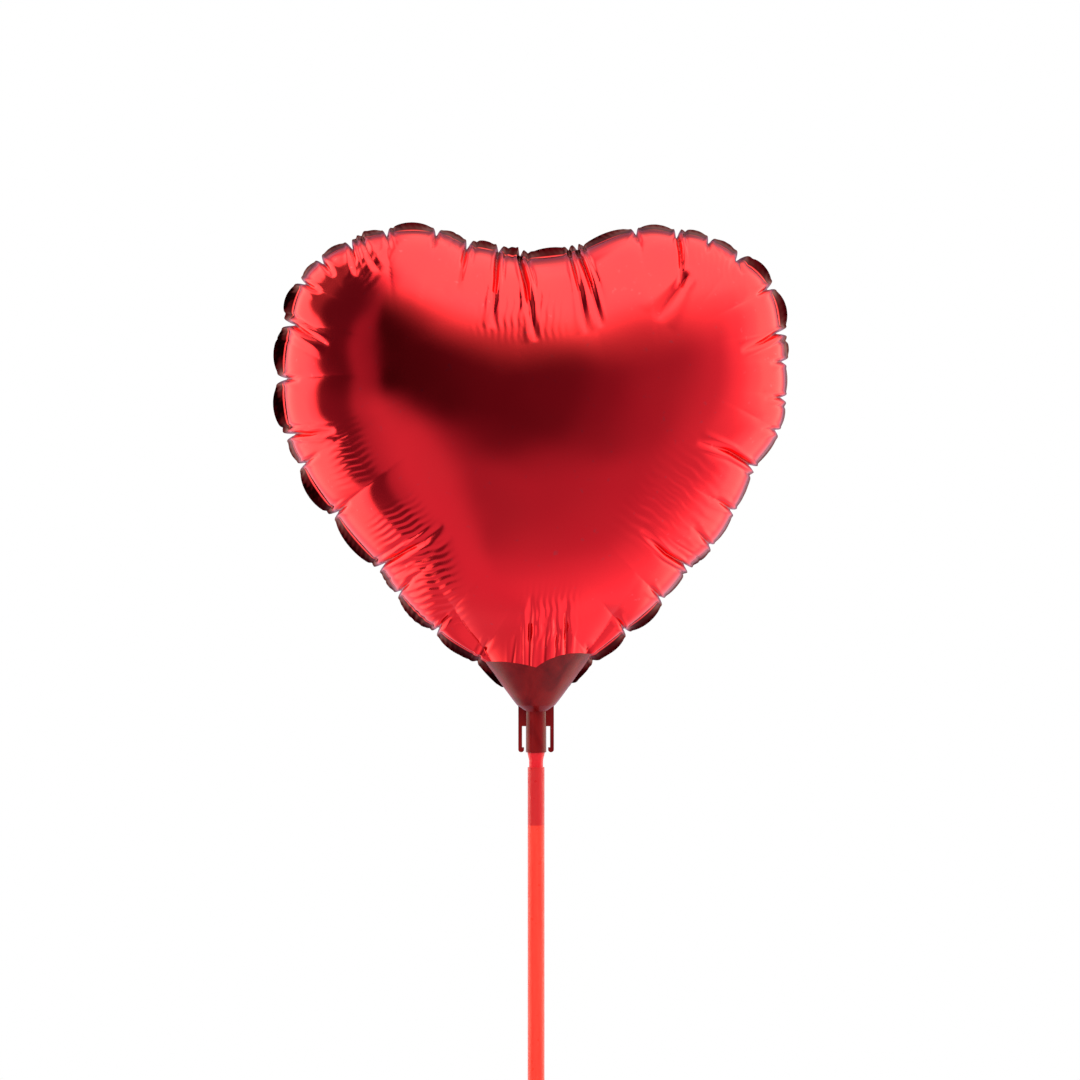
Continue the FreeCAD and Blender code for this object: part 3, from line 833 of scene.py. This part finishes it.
def share_ramp(tree, value, stops):
    """A smooth curve from 0 to 1 over the angle above the horizon."""
    curve = tree.nodes.new("ShaderNodeFloatCurve")
    points = curve.mapping.curves[0].points
    while len(points) > 2:
        points.remove(points[1])
    for number, (angle, share) in enumerate(stops):
        spot = ((angle + 90) / 180, share)
        if number in (0, len(stops) - 1):
            points[0 if number == 0 else -1].location = spot
        else:
            points.new(*spot)
    curve.mapping.update()
    tree.links.new(value, curve.inputs["Value"])
    return curve.outputs[0]


def studio_world():
    """Plain white to the camera and to diffuse rays; to glossy rays, a studio for the film to mirror."""
    world = bpy.data.worlds.new("studio")
    SCENE.world = world
    world.use_nodes = True
    tree = world.node_tree
    tree.nodes.clear()

    def math_node(kind, *values):
        node = tree.nodes.new("ShaderNodeMath")
        node.operation = kind
        for socket, value in zip(node.inputs, values):
            feed(tree, socket, value)
        return node.outputs[0]

    def mix(share, a, b):
        node = tree.nodes.new("ShaderNodeMix")
        node.data_type = "RGBA"
        for socket, value in ((node.inputs[0], share), (node.inputs[6], a), (node.inputs[7], b)):
            feed(tree, socket, value)
        return node.outputs[2]

    split = tree.nodes.new("ShaderNodeSeparateXYZ")
    tree.links.new(tree.nodes.new("ShaderNodeTexCoord").outputs["Generated"], split.inputs[0])
    x, y, z = split.outputs
    turn = math_node("ARCTAN2", x, math_node("MULTIPLY", y, -1.0))
    turn = math_node("MULTIPLY_ADD", turn, 0.5 / math.pi, 0.5)
    rise = math_node("MULTIPLY_ADD", math_node("ARCSINE", z), 1 / math.pi, 0.5)
    level, low, high, ground = (
        ramp(tree, turn, stops, -180, 180)
        for stops in (AROUND_LEVEL, AROUND_LOW, AROUND_HIGH, AROUND_FLOOR))
    to_high = share_ramp(tree, math_node("MULTIPLY_ADD", x, HIGH_LEAN, rise), TO_HIGH)
    to_low = share_ramp(tree, math_node("MULTIPLY_ADD", x, LOW_LEAN, rise), TO_LOW)
    to_ground = share_ramp(tree, rise, TO_GROUND)
    to_zenith = share_ramp(tree, rise, TO_ZENITH)
    high = mix(to_zenith, high, (1.0, 1.08, 0.9, 1))
    colour = mix(to_ground, mix(to_low, mix(to_high, level, high), low), ground)
    toward = math_node("MULTIPLY_ADD", x, DARK_PATCH[0], math_node("MULTIPLY", y, DARK_PATCH[1]))
    toward = math_node("MULTIPLY_ADD", z, DARK_PATCH[2], toward)
    patch = tree.nodes.new("ShaderNodeMapRange")
    patch.interpolation_type = "SMOOTHSTEP"
    for socket, value in zip(patch.inputs, (toward, *PATCH_EDGE, 0.0, 0.9)):
        feed(tree, socket, value)
    colour = mix(patch.outputs[0], colour, (0.045, 0.025, 0.042, 1))
    gloss = tree.nodes.new("ShaderNodeBackground")
    gloss.inputs["Strength"].default_value = WORLD_STRENGTH
    tree.links.new(colour, gloss.inputs["Color"])
    soft = tree.nodes.new("ShaderNodeBackground")
    soft.inputs["Color"].default_value = (1, 1, 1, 1)
    soft.inputs["Strength"].default_value = 1.0
    path = tree.nodes.new("ShaderNodeLightPath")
    choose = tree.nodes.new("ShaderNodeMixShader")
    plain = math_node("MAXIMUM", path.outputs["Is Camera Ray"], path.outputs["Is Diffuse Ray"])
    tree.links.new(plain, choose.inputs[0])
    tree.links.new(gloss.outputs[0], choose.inputs[1])
    tree.links.new(soft.outputs[0], choose.inputs[2])
    out = tree.nodes.new("ShaderNodeOutputWorld")
    tree.links.new(choose.outputs[0], out.inputs[0])


def soft_light(name, location, target, size, watts):
    """A round area light that the film doesn't mirror."""
    data = bpy.data.lights.new(name, "AREA")
    data.shape = "DISK"
    data.size = size
    data.energy = watts
    light = bpy.data.objects.new(name, data)
    light.location = location
    light.rotation_euler = (Vector(target) - Vector(location)).to_track_quat("-Z", "Y").to_euler()
    light.visible_glossy = False
    SCENE.collection.objects.link(light)


studio_world()
soft_light("key", (-0.9, -1.2, 1.5), (0, 0, 0.35), 0.9, 9.0)
soft_light("fill", (1.1, -0.6, 0.9), (0, 0, 0.35), 0.9, 4.0)
